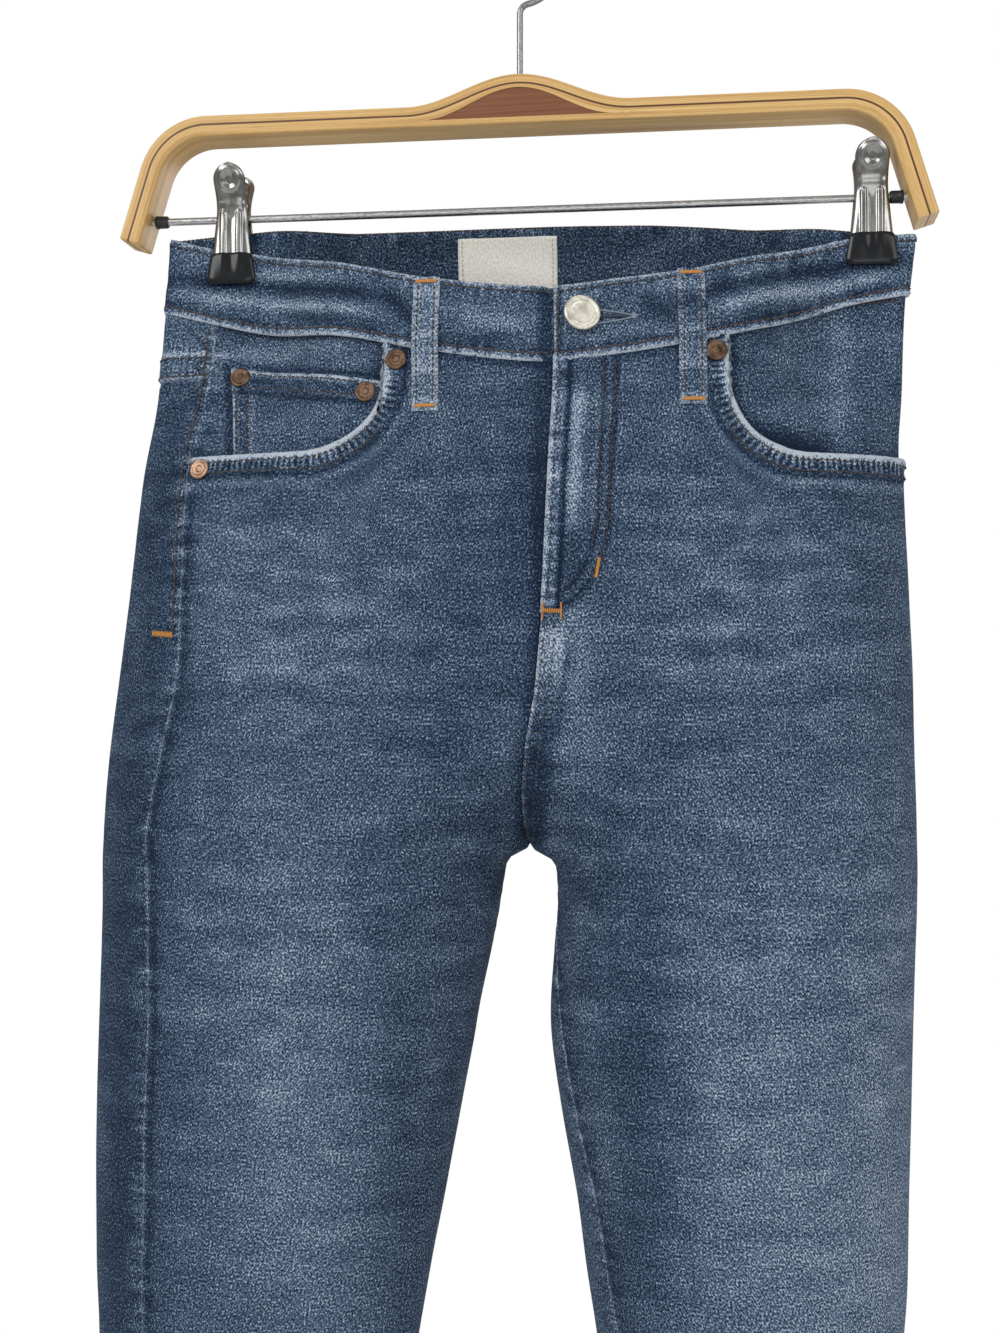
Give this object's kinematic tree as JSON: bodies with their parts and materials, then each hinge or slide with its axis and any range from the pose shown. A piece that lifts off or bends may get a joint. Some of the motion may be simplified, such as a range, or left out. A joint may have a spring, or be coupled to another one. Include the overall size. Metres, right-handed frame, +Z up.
{
  "type": "skinny jeans on a clip hanger",
  "caption": "Skinny blue denim jeans hung by the waistband from the clips of a bent-wood trouser hanger with a wire hook",
  "frame": {"origin": "top of the inside of the wire hook's loop, where a clothes rail carries it", "axes": "+Z up, the front of the jeans faces -Y, the hanger's bar runs along X with the viewer's left at -X"},
  "size_m": [0.4037, 0.1493, 1.147],
  "materials": {
    "denim": "washed blue denim, dull",
    "denim_facing": "washed blue denim, dull",
    "woven_label": "woven off-white label",
    "button_metal": "pale dull metal",
    "rivet_metal": "aged dark copper",
    "rivet_worn": "worn bright copper",
    "maple": "clear varnish, satin",
    "mahogany": "clear varnish, satin",
    "hook_steel": "dark bright wire",
    "clip_steel": "bright plated",
    "black_vinyl": "glossy black dip",
    "cap_rubber": "matt black"
  },
  "bodies": {
    "root": {"back_left": "denim", "back_pocket_left": "denim", "back_pocket_right": "denim", "back_right": "denim", "belt_loop_1": "denim", "belt_loop_2": "denim", "belt_loop_3": "denim", "belt_loop_4": "denim", "belt_loop_5": "denim", "button": "button_metal", "clip_back_left": "clip_steel", "clip_back_right": "clip_steel", "clip_front_left": "clip_steel", "clip_front_right": "clip_steel", "clip_jaw_back_left": "black_vinyl", "clip_jaw_back_right": "black_vinyl", "clip_jaw_front_left": "black_vinyl", "clip_jaw_front_right": "black_vinyl", "clip_spring_left": "clip_steel", "clip_spring_right": "clip_steel", "coin_pocket": "denim", "facing_left": "denim_facing", "facing_right": "denim_facing", "fly": "denim", "front_left": "denim", "front_right": "denim", "hanger_bar": "maple", "hanger_hook": "hook_steel", "hanger_infill": "mahogany", "hanger_rod": "clip_steel", "label": "woven_label", "rivet_1": "rivet_metal", "rivet_2": "rivet_metal", "rivet_3": "rivet_metal", "rivet_4": "rivet_worn", "rivet_5": "rivet_metal", "rivet_6": "rivet_metal", "rod_cap_left": "cap_rubber", "rod_cap_right": "cap_rubber", "waistband": "denim", "yoke_left": "denim", "yoke_right": "denim"}
  },
  "joints": []
}
